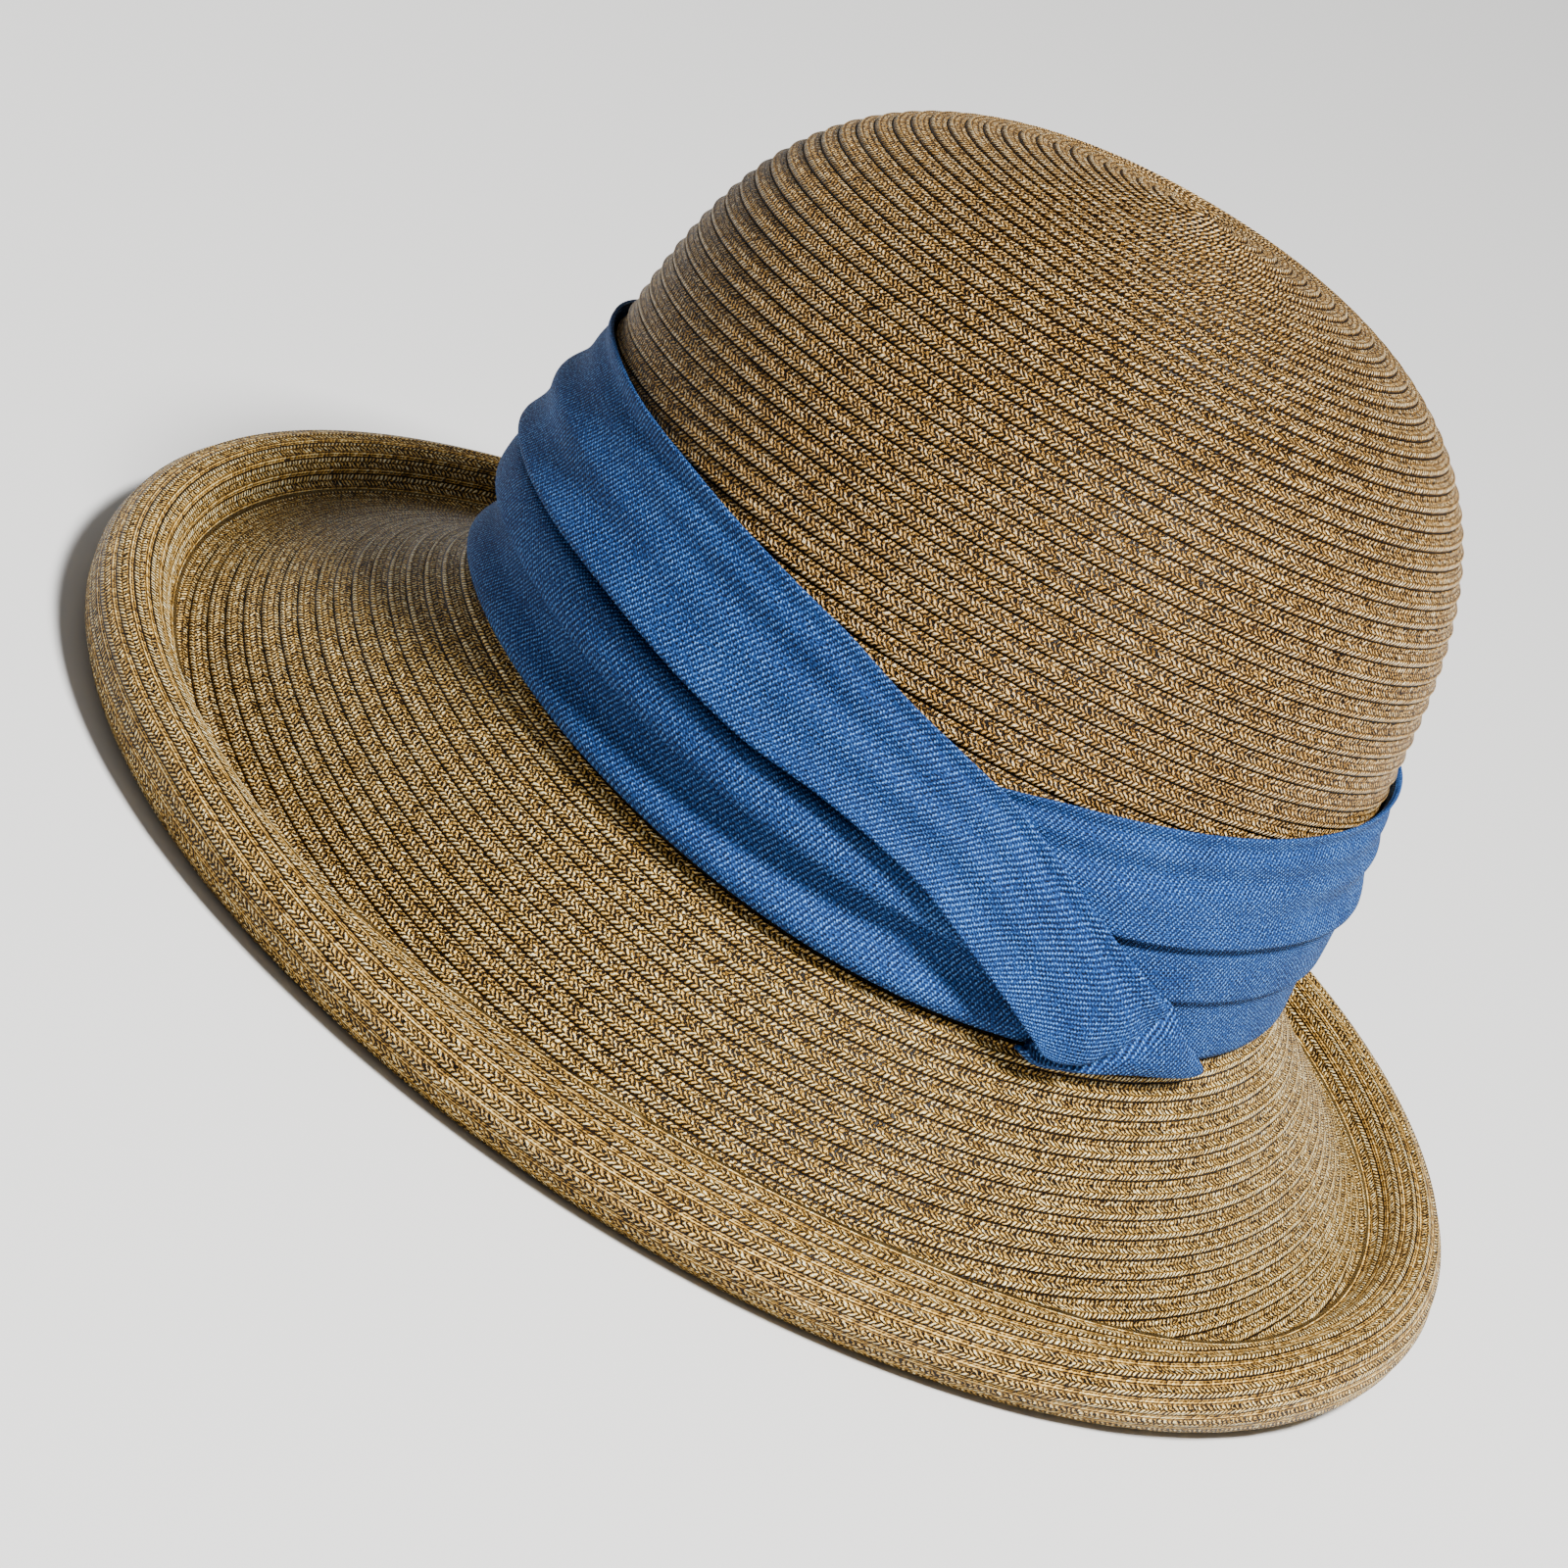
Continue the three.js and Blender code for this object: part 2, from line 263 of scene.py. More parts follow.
def ramp(tree, value, stops):
    """A colour ramp through sRGB stops."""
    made = tree.nodes.new("ShaderNodeValToRGB")
    points = made.color_ramp.elements
    while len(points) < len(stops):
        points.new(0.5)
    for point, (at, colour) in zip(points, stops):
        point.position = at
        point.color = linear(colour)
    tree.links.new(value, made.inputs[0])
    return made.outputs[0]


def wave(tree, value):
    """A wave from 0 to 1 and back, once for each whole number."""
    turned = sums(tree, "SINE", sums(tree, "MULTIPLY", value, 2 * math.pi))
    return sums(tree, "MULTIPLY_ADD", turned, 0.5, 0.5)


def smooth(tree, value, low, high, to_low=0.0, to_high=1.0):
    """An eased step from low to high."""
    made = node(tree, "ShaderNodeMapRange", {0: value}, interpolation_type="SMOOTHSTEP")
    for i, number in enumerate((low, high, to_low, to_high)):
        made.inputs[i + 1].default_value = number
    return made.outputs[0]


# Sewn straw braid: glossy strands plaited in a zigzag, three strands deep in each row. The
# lowest is the cord at the row's rim, tight, and drawn a little lighter as a painted highlight.
# The two above it are looser, browner and full of small dark holes. On the rolled edge,
# sewing threads run along the rows. The colour follows the relief: gaps, furrows and the
# groove under each cord are painted dark as shade, and strand tops painted pale as highlights.
straw = bpy.data.materials.new("sewn_straw_braid")
straw.use_nodes = True
tree = straw.node_tree
tree.nodes.clear()
laid = node(tree, "ShaderNodeUVMap", uv_map="braid").outputs[0]
spot = node(tree, "ShaderNodeSeparateXYZ", {0: laid})
along = spot.outputs[0]
rows = spot.outputs[1]
at = sums(tree, "FRACT", rows)
row = sums(tree, "FLOOR", rows)
thirds = sums(tree, "MULTIPLY", at, 3.0)
down = sums(tree, "MULTIPLY", rows, braid_width)
flat_spot = node(tree, "ShaderNodeCombineXYZ", {0: along, 1: down}).outputs[0]
row_chance = node(tree, "ShaderNodeTexWhiteNoise", {"W": row}, noise_dimensions="1D").outputs[0]
wander = node(tree, "ShaderNodeTexNoise", {"Vector": flat_spot}, in_Scale=0.45, in_Detail=2.0)
wander = wander.outputs[0]
fray = node(tree, "ShaderNodeTexNoise", {"Vector": flat_spot}, in_Scale=1.5, in_Detail=2.0)
fray = fray.outputs[0]
patches = node(tree, "ShaderNodeTexNoise", {"Vector": flat_spot}, in_Scale=0.03, in_Detail=4.0)
patches = patches.outputs[0]

# The strands slant one way in one third of the row and back in the next
cord = smooth(tree, thirds, 1.9, 2.1)
loose = sums(tree, "MULTIPLY_ADD", cord, -0.65, 1.0)
slanted = sums(tree, "MULTIPLY_ADD", row_chance, 7.0, sums(tree, "DIVIDE", along, strand_pitch))
slanted = sums(tree, "MULTIPLY_ADD", sums(tree, "PINGPONG", thirds, 1.0), 0.95, slanted)
slanted = sums(tree, "MULTIPLY_ADD", wander, 1.2, slanted)
slanted = sums(tree, "MULTIPLY_ADD", fray, sums(tree, "MULTIPLY", loose, 1.6), slanted)
strand = sums(tree, "POWER", wave(tree, slanted), 1.2)
strand_place = sums(tree, "FLOOR", slanted)
strand_line = sums(tree, "FLOOR", sums(tree, "MULTIPLY", rows, 3.0))
one_strand = node(tree, "ShaderNodeCombineXYZ", {0: strand_place, 1: strand_line}).outputs[0]
strand_chance = node(tree, "ShaderNodeTexWhiteNoise", {"Vector": one_strand},
                     noise_dimensions="3D").outputs[0]

# Furrows part the thirds, a deeper groove parts the rows, and the loose thirds have holes.
# Furrows and groove shape the bump and are also painted dark in the colour as shade.
furrow = smooth(tree, sums(tree, "PINGPONG", thirds, 0.5), 0.0, 0.3, 0.35, 1.0)
groove = sums(tree, "MULTIPLY_ADD", fray, 0.12, sums(tree, "PINGPONG", rows, 0.5))
groove = smooth(tree, groove, 0.05, 0.16)
holes = sums(tree, "MAXIMUM", smooth(tree, fray, 0.38, 0.46), cord)
# This relief drives the bump and, through the tone, the colour: its low places are painted shade
relief_and_painted_shade = sums(tree, "MULTIPLY", strand, sums(tree, "MULTIPLY", furrow, groove))
# The cord is raised in the bump and drawn lighter in the colour as a painted highlight
relief_and_painted_shade = sums(tree, "MULTIPLY", relief_and_painted_shade, sums(tree, "MULTIPLY_ADD", cord, 0.15, 0.85))
relief_and_painted_shade = sums(tree, "MULTIPLY", relief_and_painted_shade, sums(tree, "MULTIPLY_ADD", holes, 0.8, 0.2))

# Six sewing threads to a row on the rolled edge
past_slope = sums(tree, "GREATER_THAN", rows, roll_first_row - 0.5)
before_under = sums(tree, "LESS_THAN", rows, under_first_row - 0.5)
on_roll = sums(tree, "MULTIPLY", past_slope, before_under)
threads = wave(tree, sums(tree, "MULTIPLY", at, 6.0))
sewn = sums(tree, "MULTIPLY", smooth(tree, at, 0.4, 0.3), on_roll)
threaded = sums(tree, "MULTIPLY_ADD", strand_chance, 0.4, 0.6)
threaded = sums(tree, "MULTIPLY", threaded, sums(tree, "MULTIPLY", threads, groove))
sewn_share = sums(tree, "MULTIPLY", sewn, 0.55)
relief_and_painted_shade = node(tree, "ShaderNodeMix", {0: sewn_share, 2: relief_and_painted_shade, 3: threaded}).outputs[0]

# Tone is the relief times random tone, so it carries painted shade in the gaps and painted
# highlights on the strand tops
tone_with_painted_light = sums(tree, "MULTIPLY_ADD", patches, 0.3, 0.5)
tone_with_painted_light = sums(tree, "MULTIPLY_ADD", strand_chance, 0.75, tone_with_painted_light)
tone_with_painted_light = sums(tree, "MULTIPLY", tone_with_painted_light, relief_and_painted_shade)
# Near-black low stops paint shade into the gaps; near-white high stops paint highlights on the
# strands
straw_colour_with_painted_light = ramp(tree, tone_with_painted_light, [
    (0.0, "#060301"),
    (0.13, "#2e1c0a"),
    (0.3, "#a27831"),
    (0.54, "#e4b45a"),
    (0.78, "#fbda8e"),
    (1.0, "#fff3c4"),
])
on_crown = sums(tree, "LESS_THAN", rows, slope_first_row - 0.5)
browner = node(tree, "ShaderNodeMix", {0: on_crown, 6: straw_colour_with_painted_light}, data_type="RGBA",
               blend_type="MULTIPLY", in_7=(0.76, 0.70, 0.72, 1.0)).outputs[2]
straw_bump = node(tree, "ShaderNodeBump", {"Height": relief_and_painted_shade}, in_Strength=1.0, in_Distance=0.0008)
straw_links = {"Base Color": browner, "Normal": straw_bump.outputs[0]}
straw_shader = node(tree, "ShaderNodeBsdfPrincipled", straw_links, in_Roughness=0.42,
                    in_Specular_IOR_Level=0.1)
node(tree, "ShaderNodeOutputMaterial", {0: straw_shader.outputs[0]})
crown.data.materials.append(straw)

# Brim: the same braid carried on from the head line, sloping down all round. Its last rows
# are rolled outwards, up and under into a soft tube, steeper and flared at the back.
rim_half_width = 139.0
rim_half_length = 148.0
roll_radius = 8.3
roll_tuck = math.radians(35)
foot_half = math.radians(9)
valley_in = 9.0
valley_up = 1.0
back_valley_in = 6.4
back_valley_up = 10.2
valley_bend = 6.0
roll_level = roll_radius * math.cos(foot_half)
brim_around = 300
slope_marks = 112
roll_marks = 60
under_marks = 36
slope_points = 10
bend_points = 12
roll_points = 60
roll_middle_radius = 141.0
head_line_radius = 95.0
radius_per_row = 2.9
slope_rows = 15


def back_share(angle):
    """0 round the front and sides, rising to 1 at the middle of the back."""
    turned_back = math.sin(math.radians(30))
    return max(0.0, (math.sin(angle) - turned_back) / (1 - turned_back)) ** 1.5


def brim_section(start, reach, back):
    """The brim's upper face in section, and how many of its points come before the valley."""
    middle = Vector((reach, roll_level))
    inset = valley_in + (back_valley_in - valley_in) * back
    lift = valley_up + (back_valley_up - valley_up) * back
    valley = Vector((reach - inset, roll_level + lift))
    to_middle = middle - valley
    rise = math.atan2(to_middle.y, to_middle.x) + math.asin(roll_radius / to_middle.length)
    first = rise + math.pi / 2
    last = -math.pi / 2 - roll_tuck

    def on_roll(turn):
        return middle + roll_radius * Vector((math.cos(turn), math.sin(turn)))

    top = Vector((0.0, start))
    bend_start = valley - (valley - top).normalized() * valley_bend
    bend_end = on_roll(first)
    slope = [top.lerp(bend_start, k / slope_points) for k in range(slope_points)]
    bend = []
    for k in range(bend_points + 1):
        share = k / bend_points
        before = bend_start.lerp(valley, share)
        bend.append(before.lerp(valley.lerp(bend_end, share), share))
    roll = [on_roll(first + (last - first) * (k + 1) / roll_points) for k in range(roll_points)]
    for point in roll:
        point.y = max(point.y, 0.0)
    return slope + bend + roll, slope_points + bend_points // 2


def measured(points):
    lengths = [0.0]
    for before, after in zip(points, points[1:]):
        lengths.append(lengths[-1] + (after - before).length)
    return lengths


def point_along(points, lengths, distance):
    """The point at a distance along a line, and the line's direction there."""
    distance = min(max(distance, 0.0), lengths[-1])
    k = 0
    while k < len(points) - 2 and lengths[k + 1] < distance:
        k += 1
    direction = (points[k + 1] - points[k]).normalized()
    share = (distance - lengths[k]) / max(lengths[k + 1] - lengths[k], 1e-9)
    return points[k].lerp(points[k + 1], share), direction


brim_ribs = []
for i in range(brim_around + 1):
    angle = front + 2 * math.pi * i / brim_around
    head = crown_point(angle, join_line(angle) - join_drop - seam_gap, 0.0)
    roll = Vector((rim_half_width * math.cos(angle), rim_half_length * math.sin(angle), 0.0))
    outward = Vector((roll.x - head.x, roll.y - head.y, 0.0))
    section, valley_index = brim_section(head.z, outward.length, back_share(angle))
    lengths = measured(section)
    brim_ribs.append((head, outward.normalized(), section, lengths, lengths[valley_index]))


def brim_place(i, j):
    angle = front + 2 * math.pi * i / brim_around
    head, outward, section, lengths, valley_length = brim_ribs[i]
    whole = lengths[-1]
    if j <= slope_marks:
        distance = valley_length * j / slope_marks
        row = slope_first_row + distance / braid_width
        proud = (braid_rise(row) - 1) * braid_relief
    elif j <= slope_marks + roll_marks:
        past = (whole - valley_length) * (j - slope_marks) / roll_marks
        distance = valley_length + past
        row = roll_first_row + past / braid_width
        proud = (braid_rise(row) - 1) * braid_relief * 0.7
    else:
        share = (j - slope_marks - roll_marks - 1) / (under_marks - 1)
        distance = whole * (1 - share)
        row = under_first_row + distance / braid_width
        proud = -wall
    point, direction = point_along(section, lengths, distance)
    if j > slope_marks + roll_marks and share > 0.98:
        place = crown_point(angle, join_line(angle) - join_drop - seam_gap, -wall)
    else:
        point = point + proud * Vector((-direction.y, direction.x))
        place = Vector((head.x, head.y, max(point.y, 0.0))) + outward * point.x
    return place, (angle, row, brim_radius)


def brim_radius(row):
    if roll_first_row <= row < under_first_row:
        return whole_strands(roll_middle_radius)
    first = slope_first_row if row < roll_first_row else under_first_row
    return whole_strands(head_line_radius + min(row - first, slope_rows) * radius_per_row)


brim_marks = slope_marks + roll_marks + under_marks + 1
brim = straw_piece("brim_braid", brim_around, brim_marks,
                   lambda i, j: brim_place(i, j % brim_marks), "brim")
brim.data.materials.append(straw)

# Band: one strip of ribbed blue cloth laid round the crown in three overlapping folds. The
# folds are full on the left and pressed flat from the knot onwards, and their lower edges
# are turned under.
band_height = 53.0
fold_depth = 5.8
knot_depth = 7.0
lower_flat = 1.4
middle_flat = 2.7
cloth_wall = 0.9
hem_share = 0.13
hem_fall = 8.0
along_ring = 300
across_ring = 22


def follow(rows):
    """A smooth curve through the rows of a table, read by the table's first column."""
    keys = [row[0] for row in rows]

    def rate(k, column):
        before = max(k - 1, 0)
        after = min(k + 1, len(rows) - 1)
        return (rows[after][column] - rows[before][column]) / (keys[after] - keys[before])

    def read(value):
        value = min(max(value, keys[0]), keys[-1])
        k = 0
        while k < len(keys) - 2 and keys[k + 1] < value:
            k += 1
        span = keys[k + 1] - keys[k]
        t = (value - keys[k]) / span
        found = []
        for column in range(1, len(rows[0])):
            a, b = rows[k][column], rows[k + 1][column]
            ra, rb = rate(k, column) * span, rate(k + 1, column) * span
            found.append((2 * t ** 3 - 3 * t ** 2 + 1) * a + (t ** 3 - 2 * t ** 2 + t) * ra
                         + (3 * t ** 2 - 2 * t ** 3) * b + (t ** 3 - t ** 2) * rb)
        return found

    return read


def band_point(degrees, up, out):
    angle = math.radians(degrees)
    return crown_point(angle, join_line(angle) + up, out)


# Angle in degrees, fullness of the folds
fullness = follow([
    (-60, 1),
    (60, 1),
    (92, 0.9),
    (112, 0.25),
    (135, 0.15),
    (210, 0.2),
    (285, 0.9),
    (300, 1),
])
# Share along the section, height as a share of the band, stand-off as a share of the fold
lower_section = follow([
    (0, 0.36, 0.2),
    (0.2, 0.25, 0.18),
    (0.4, 0.19, 0.18),
    (0.54, 0.14, 0.24),
    (0.67, 0.1, 0.42),
    (0.78, 0.06, 0.58),
    (0.87, 0.03, 0.6),
    (0.94, 0.004, 0.48),
    (0.97, 0.0, 0.36),
    (1.0, 0.02, 0.24),
])
middle_section = follow([
    (0, 0.5, 0.2),
    (0.08, 0.466, 0.2),
    (0.16, 0.45, 0.32),
    (0.24, 0.437, 0.55),
    (0.34, 0.42, 0.74),
    (0.5, 0.38, 0.87),
    (0.65, 0.33, 0.92),
    (0.78, 0.29, 0.91),
    (0.87, 0.262, 0.82),
    (0.93, 0.252, 0.68),
    (0.97, 0.258, 0.52),
    (1.0, 0.29, 0.42),
])


def evenly(share):
    return share


def cloth_piece(name, along, across, place, flat_size, node_name, spread=evenly,
                spot=None):
    """A strip of cloth: a grid laid on the band, given its thickness inwards."""
    flat_width, flat_length = flat_size
    shape = bmesh.new()
    bmesh.ops.create_grid(shape, x_segments=along, y_segments=across, size=0.5)
    pattern = shape.loops.layers.uv.new("weave")
    for face in shape.faces:
        face.smooth = True
        for loop in face.loops:
            s = spread(loop.vert.co.x + 0.5)
            t = loop.vert.co.y + 0.5
            loop[pattern].uv = spot(s, t) if spot else (s * flat_length, t * flat_width)
    for corner in shape.verts:
        corner.co = place(spread(corner.co.x + 0.5), corner.co.y + 0.5) * MM
    bmesh.ops.remove_doubles(shape, verts=shape.verts, dist=1e-6)
    for face in shape.faces:
        face.normal_update()
    middle = head_middle * MM
    outwards = 0.0
    for face in shape.faces:
        outwards += (face.calc_center_median() - middle).dot(face.normal) * face.calc_area()
    if outwards < 0:
        bmesh.ops.reverse_faces(shape, faces=shape.faces)
    mesh = bpy.data.meshes.new(name)
    shape.to_mesh(mesh)
    shape.free()
    piece = bpy.data.objects.new(name, mesh)
    bpy.context.scene.collection.objects.link(piece)
    thick = piece.modifiers.new("thickness", "SOLIDIFY")
    thick.thickness = cloth_wall * MM
    thick.offset = -1
    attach(piece, "root")
    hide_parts(node_name)
    return piece


def ring_place(section, flat):
    """A fold that runs once round the crown, pressed flat past the knot."""
    def place(s, t):
        degrees = -90 + 360 * s
        up, out = section(1 - t)
        full = fullness(degrees if degrees >= -60 else degrees + 360)[0]
        out = flat + (out * fold_depth - flat) * full
        if full < 1 and t < hem_share:
            out -= (1 - full) * (hem_share - t) * hem_fall
        return band_point(degrees, up * band_height, out)
    return place


lower_fold = cloth_piece("band_lower_cloth", along_ring, across_ring,
                         ring_place(lower_section, lower_flat), (21.0, 600.0),
                         "band_lower_fold")
middle_fold = cloth_piece("band_middle_cloth", along_ring, across_ring,
                          ring_place(middle_section, middle_flat), (17.0, 610.0),
                          "band_middle_fold")

# Upper fold: the wide top fold of the same strip, from under the knot round the front. Its
# end crosses down over the lower folds at the back right. Both of its edges are turned in.
upper_start = 92
upper_end = 484
crease_height = 1.5
creases_along = 9.0
creases_across = 3.4
crease_pattern = 4.0

# Run, lower edge's angle and height, upper edge's angle and height, their two stand-offs, bow
upper_fold_run = follow([
    (upper_start, 92, 0.5, 92, 0.79, 0.7, 0.23, 0),
    (101, 101, 0.475, 101, 0.838, 0.67, 0.23, 0),
    (115, 115, 0.465, 115, 0.872, 0.62, 0.23, 0),
    (145, 145, 0.485, 145, 0.9, 0.6, 0.23, 0),
    (210, 210, 0.48, 210, 0.92, 0.61, 0.23, 0),
    (300, 300, 0.47, 300, 0.95, 0.78, 0.23, 0),
    (380, 380, 0.466, 380, 0.956, 0.78, 0.23, 0),
    (400, 400, 0.475, 400, 0.975, 0.78, 0.23, 0),
    (424, 423, 0.452, 426, 0.955, 0.83, 0.29, 0),
    (436, 434, 0.462, 438, 0.89, 0.88, 0.42, 0),
    (446, 443, 0.432, 449, 0.82, 0.95, 0.58, 0),
    (454, 450, 0.375, 456, 0.755, 0.98, 0.74, 0),
    (462, 457, 0.27, 464, 0.625, 0.96, 0.86, 0),
    (470, 463, 0.17, 473, 0.468, 0.93, 0.9, 0.01),
    (478, 469, 0.06, 481.5, 0.32, 0.88, 0.9, 0.05),
    (482, 471, 0.02, 484, 0.275, 0.86, 0.88, 0.085),
    (upper_end, 471.8, 0.012, 484.8, 0.25, 0.84, 0.86, 0.1),
])
# Share across the fold from its lower edge, how far it falls back to the straw, hem thickness
upper_section = follow([
    (0, 0.02, -1.2),
    (0.05, 0.0, 0.1),
    (0.1, 0.03, 0.2),
    (0.3, 0.42, -0.1),
    (0.46, 0.64, 0.45),
    (0.6, 0.8, -0.05),
    (0.74, 0.9, 0.3),
    (0.86, 0.97, -0.4),
    (0.91, 0.985, 0.05),
    (0.95, 0.99, 0.3),
    (0.98, 1.0, 0.3),
    (1.0, 1.0, -0.3),
])
upper_across = follow([(0, 0.035), (0.05, 0.0), (0.5, 0.48), (0.98, 1.0), (1.0, 0.99)])


def eased(value, low, high):
    """0 below low, 1 above high, and a smooth step between."""
    share = min(max((value - low) / (high - low), 0.0), 1.0)
    return share * share * (3 - 2 * share)


def closer_at_end(share):
    """Spends the last tenth of the grid on the last 2.5 % of the strip, where it is turned in."""
    return share / 0.9 * 0.975 if share < 0.9 else 0.975 + (share - 0.9) * 0.25


def upper_place(s, t):
    run = upper_start + s * (upper_end - upper_start)
    low_angle, low_up, top_angle, top_up, low_out, top_out, bow = upper_fold_run(run)
    across = upper_across(t)[0]
    fall, hem = upper_section(t)
    degrees = low_angle + (top_angle - low_angle) * across
    up = (low_up + (top_up - low_up) * across - 4 * bow * across * (1 - across)) * band_height
    out = (low_out + (top_out - low_out) * fall) * knot_depth + hem
    out += 0.7 * eased(s, 0.3, 0.5) * (1 - across)
    out += 1.3 * eased(s, 0.93, 0.98) - 0.7 * eased(s, 0.9965, 1.0) ** 2
    crease = noise.noise(Vector((s * creases_along, t * creases_across, crease_pattern)))
    crease *= crease_height * math.sin(math.pi * t)
    return band_point(degrees, up, out + crease * (1 - eased(s, 0.97, 1.0)))


upper_fold = cloth_piece("band_upper_cloth", 420, 36, upper_place, (31.0, 640.0),
                         "band_upper_fold", closer_at_end)

# Wrap: the strip's other end, brought up round the crossing end and tucked in under it, so
# it shows as a narrow rim below the knot that widens to a pointed triangle.
band_radius = 95.0
tucked_under = 1.2
tuck_depth = 4.5
step_down = 2.3
finer_at_tuck = 1.7
rim_turn = 1.5
rim_turn_width = 1.4
puff_height = 0.9
least_stand_off = 1.0

# Run, outer edge's angle and height, stand-off
wrap_run = follow([
    (0, 109.6, -0.02, 0.74),
    (0.2, 113.0, -0.056, 0.8),
    (0.4, 118.0, -0.053, 0.82),
    (0.6, 126.5, -0.022, 0.83),
    (0.8, 138.6, -0.008, 0.83),
    (0.9, 132.0, 0.135, 0.83),
    (1, 125.8, 0.295, 0.82),
])


def end_edge(share):
    """The crossing end's edge, as millimetres round the crown and up the band."""
    low_angle, low_up, top_angle, top_up, low_out, top_out, bow = upper_fold_run(upper_end)
    up = low_up + (top_up - low_up) * share - 4 * bow * share * (1 - share)
    angle = math.radians(low_angle + (top_angle - low_angle) * share - 360)
    return Vector((angle * band_radius, up * band_height))


def wrap_spot(s, t):
    """From the tucked edge (t = 0) to the outer edge (t = 1), in the same millimetres."""
    heading = (end_edge(s + 0.02) - end_edge(s - 0.02)).normalized()
    inner = end_edge(s) + tucked_under * Vector((-heading.y, heading.x))
    outer_angle, outer_up, out = wrap_run(s)
    outer = Vector((math.radians(outer_angle) * band_radius, outer_up * band_height))
    return inner.lerp(outer, t ** finer_at_tuck)


def wrap_place(s, t):
    out = wrap_run(s)[2] * knot_depth
    width = (wrap_spot(s, 1) - wrap_spot(s, 0)).length
    reached = (wrap_spot(s, t) - wrap_spot(s, 0)).length
    share = reached / width
    fall = tuck_depth * (1 - eased(reached, 0.0, tucked_under))
    fall += step_down * (1 - eased(reached - tucked_under, 0.8, 2.0 + 6.0 * s))
    fall += rim_turn * (1 - eased(width - reached, 0.0, rim_turn_width)) ** 2
    puff = puff_height * math.sin(math.pi * share) * eased(width, 6.0, 20.0)
    around, up = wrap_spot(s, t)
    laid_out = out * (1 - 0.15 * share) - min(fall, out - least_stand_off) + puff
    return band_point(math.degrees(around / band_radius), up, laid_out)


wrap = cloth_piece("band_wrap_cloth", 80, 48, wrap_place, (16.0, 36.0),
                   "band_wrap_end", spot=wrap_spot)

# Ribbed cloth: a matt knit with fine ribs that cross the strip at a slant, 1.1 mm apart.
# The yarn's tone is a little cloudy, and the colour also follows the rib relief: stitch tops
# are painted pale blue as highlights and the gaps between them painted navy as shade.
rib_pitch = 1.08
stitch_pitch = 0.62
rib_slant = math.radians(65)
cloth = bpy.data.materials.new("ribbed_blue_cloth")
cloth.use_nodes = True
tree = cloth.node_tree
tree.nodes.clear()
weave = node(tree, "ShaderNodeUVMap", uv_map="weave").outputs[0]
spot = node(tree, "ShaderNodeSeparateXYZ", {0: weave})
speck = node(tree, "ShaderNodeTexNoise", {"Vector": weave}, in_Scale=1.9, in_Detail=3.0)
speck = speck.outputs[0]
cloudy = node(tree, "ShaderNodeTexNoise", {"Vector": weave}, in_Scale=0.06, in_Detail=2.0)
cloudy = cloudy.outputs[0]
over = sums(tree, "SUBTRACT", sums(tree, "MULTIPLY", spot.outputs[0], math.sin(rib_slant)),
            sums(tree, "MULTIPLY", spot.outputs[1], math.cos(rib_slant)))
over = sums(tree, "MULTIPLY_ADD", speck, 0.5, sums(tree, "DIVIDE", over, rib_pitch))
down = sums(tree, "ADD", sums(tree, "MULTIPLY", spot.outputs[0], math.cos(rib_slant)),
            sums(tree, "MULTIPLY", spot.outputs[1], math.sin(rib_slant)))
down = sums(tree, "DIVIDE", down, stitch_pitch)
down = sums(tree, "MULTIPLY_ADD", sums(tree, "PINGPONG", over, 0.5), 0.9, down)
yarn = sums(tree, "MULTIPLY", wave(tree, down), 0.26)
yarn = sums(tree, "MULTIPLY_ADD", wave(tree, over), 0.38, yarn)
yarn = sums(tree, "ADD", yarn, smooth(tree, speck, 0.3, 0.7, 0.0, 0.4))
heather_and_painted_light = sums(tree, "MULTIPLY_ADD", cloudy, 0.2, sums(tree, "SUBTRACT", yarn, 0.1))
# Colour follows the yarn relief over a cloudy tone: gaps painted navy as shade, stitch tops
# painted pale blue as highlights
cloth_colour_with_painted_light = ramp(tree, heather_and_painted_light, [
    (0.12, "#020918"),
    (0.42, "#09204a"),
    (0.7, "#1b457f"),
    (0.95, "#649bdc"),
])
cloth_bump = node(tree, "ShaderNodeBump", {"Height": yarn}, in_Strength=0.9, in_Distance=0.0003)
cloth_links = {"Base Color": cloth_colour_with_painted_light, "Normal": cloth_bump.outputs[0]}
cloth_shader = node(tree, "ShaderNodeBsdfPrincipled", cloth_links, in_Roughness=0.7,
                    in_Specular_IOR_Level=0.12)
node(tree, "ShaderNodeOutputMaterial", {0: cloth_shader.outputs[0]})
for piece in (lower_fold, middle_fold, upper_fold, wrap):
    piece.data.materials.append(cloth)

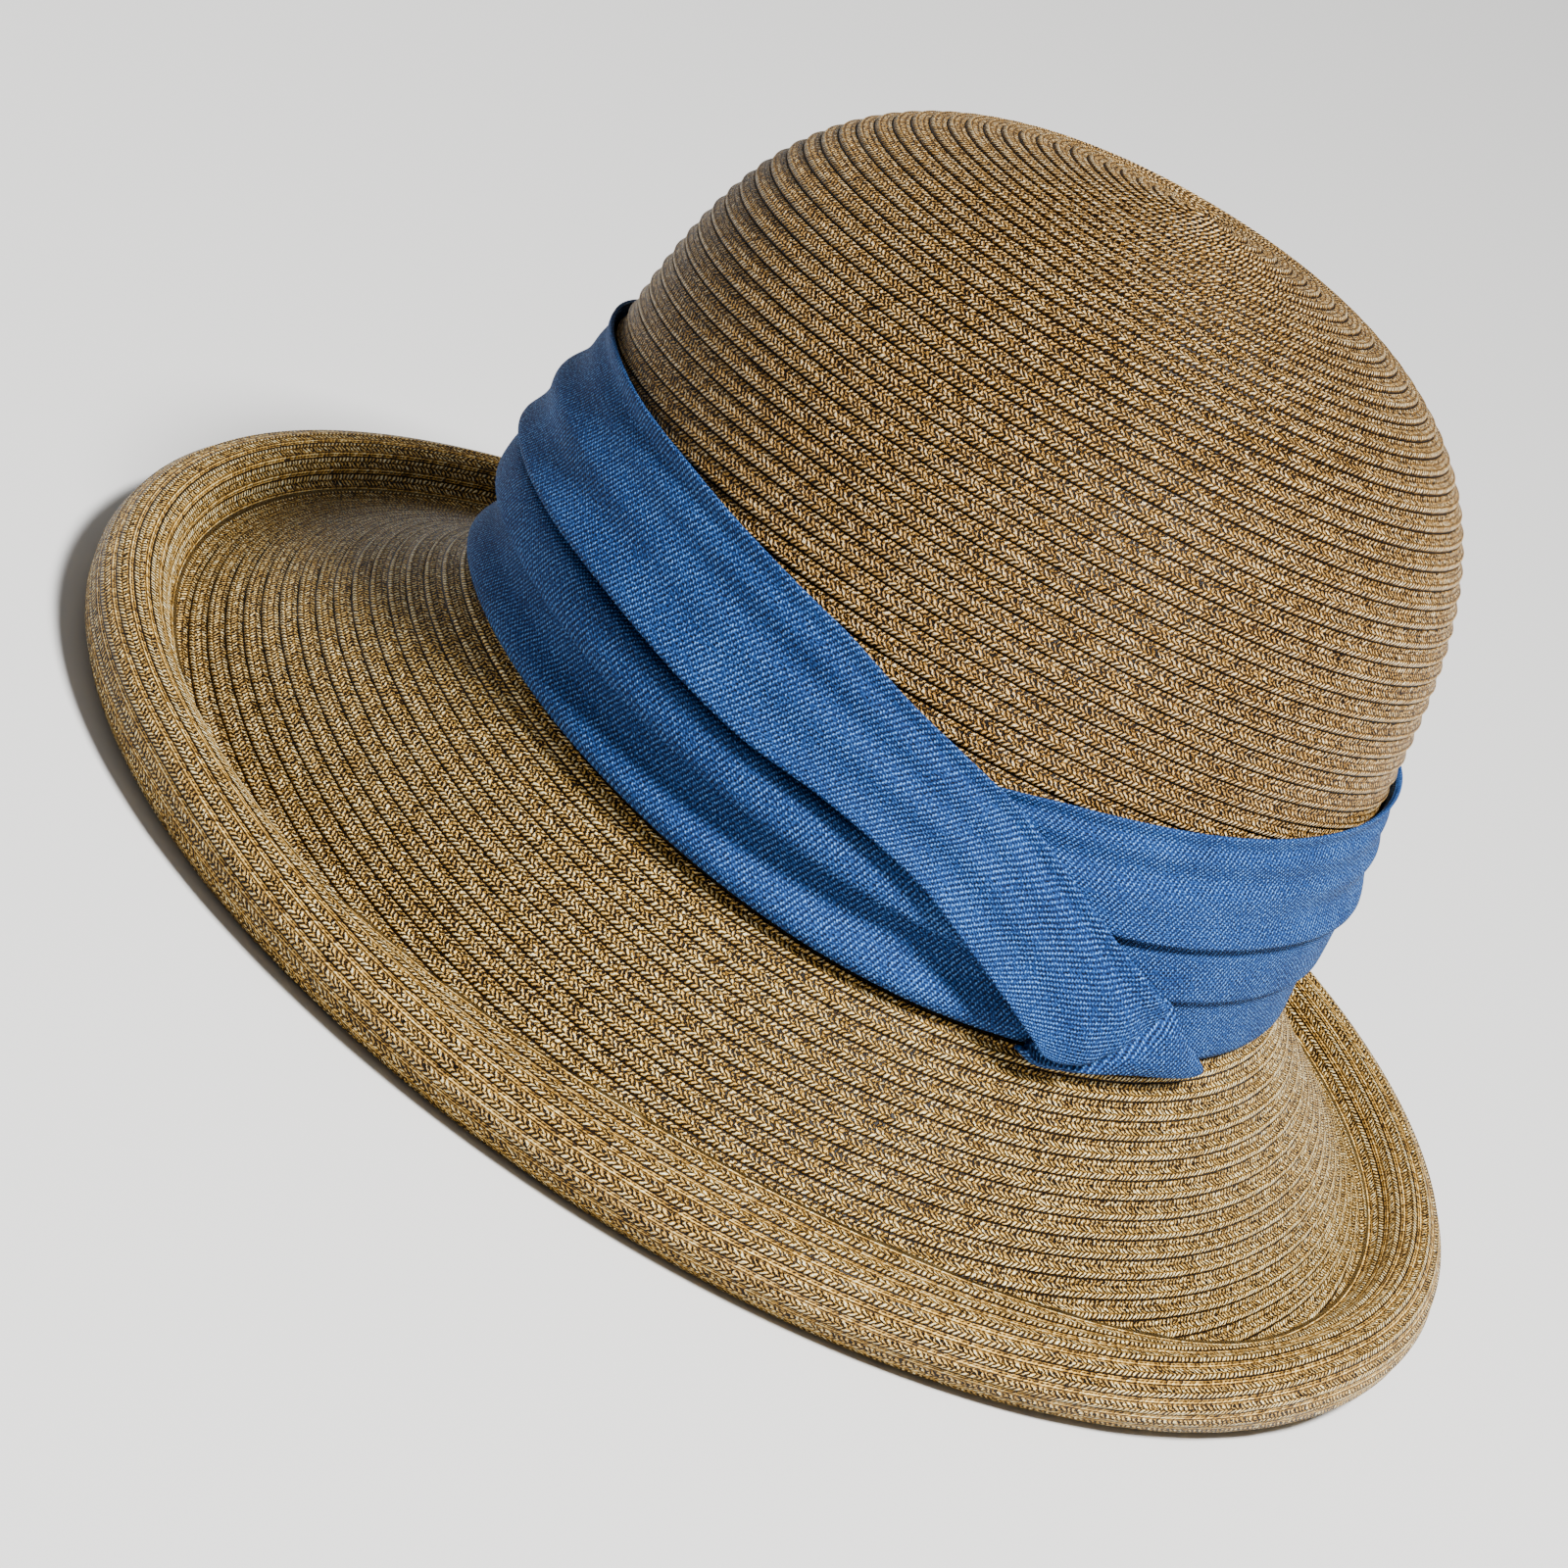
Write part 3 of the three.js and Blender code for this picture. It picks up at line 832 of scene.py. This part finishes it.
# Floor: a plain pale surface that the hat stands on, covered with matt paper. It is wide
# enough to fill the view.
floor_half = 8.0
floor_shape = bmesh.new()
bmesh.ops.create_grid(floor_shape, x_segments=1, y_segments=1, size=floor_half)
floor_mesh = bpy.data.meshes.new("floor")
floor_shape.to_mesh(floor_mesh)
floor_shape.free()
floor = bpy.data.objects.new("floor", floor_mesh)
bpy.context.scene.collection.objects.link(floor)
paper = bpy.data.materials.new("pale_paper")
paper.use_nodes = True
paper_shader = paper.node_tree.nodes["Principled BSDF"]
paper_shader.inputs["Base Color"].default_value = linear("#cbcac8")
paper_shader.inputs["Roughness"].default_value = 0.9
floor_mesh.materials.append(paper)

# Light: one soft lamp, high behind the hat on the viewer's right, and a pale even sky that
# fills the shadows to about a fifth of it.
hat_middle = Vector((0.0, 0.0, 0.07))
lamp_place = Vector((-0.59, 0.88, 1.77))
lamp = bpy.data.lights.new("key", "AREA")
lamp.size = 0.4
lamp.energy = 158.0
key = bpy.data.objects.new("key", lamp)
key.location = lamp_place
key.rotation_euler = (hat_middle - lamp_place).to_track_quat("-Z", "Y").to_euler()
bpy.context.scene.collection.objects.link(key)
sky = bpy.data.worlds.new("pale_sky")
sky.use_nodes = True
sky_light = sky.node_tree.nodes["Background"]
sky_light.inputs["Color"].default_value = (1.0, 1.0, 1.0, 1.0)
sky_light.inputs["Strength"].default_value = 0.3
bpy.context.scene.world = sky

# Camera: a long lens behind the hat and above it, turned so that the hat leans to the right.
lens_length = 220.98
camera_place = Vector((0.2999, 1.6842, 0.6881))
looked_at = Vector((0.0159, 0.0279, 0.0431))
backwards = (camera_place - looked_at).normalized()
sideways = Vector((-0.872, -0.0405, 0.4878))
sideways = (sideways - sideways.dot(backwards) * backwards).normalized()
upwards = backwards.cross(sideways)
lens = bpy.data.cameras.new("camera")
lens.sensor_width = 36.0
lens.lens = lens_length
lens.clip_start = 0.05
camera = bpy.data.objects.new("camera", lens)
turned = Matrix((sideways, upwards, backwards)).transposed().to_4x4()
camera.matrix_world = Matrix.Translation(camera_place) @ turned
bpy.context.scene.collection.objects.link(camera)
bpy.context.scene.camera = camera

bpy.context.view_layer.update()
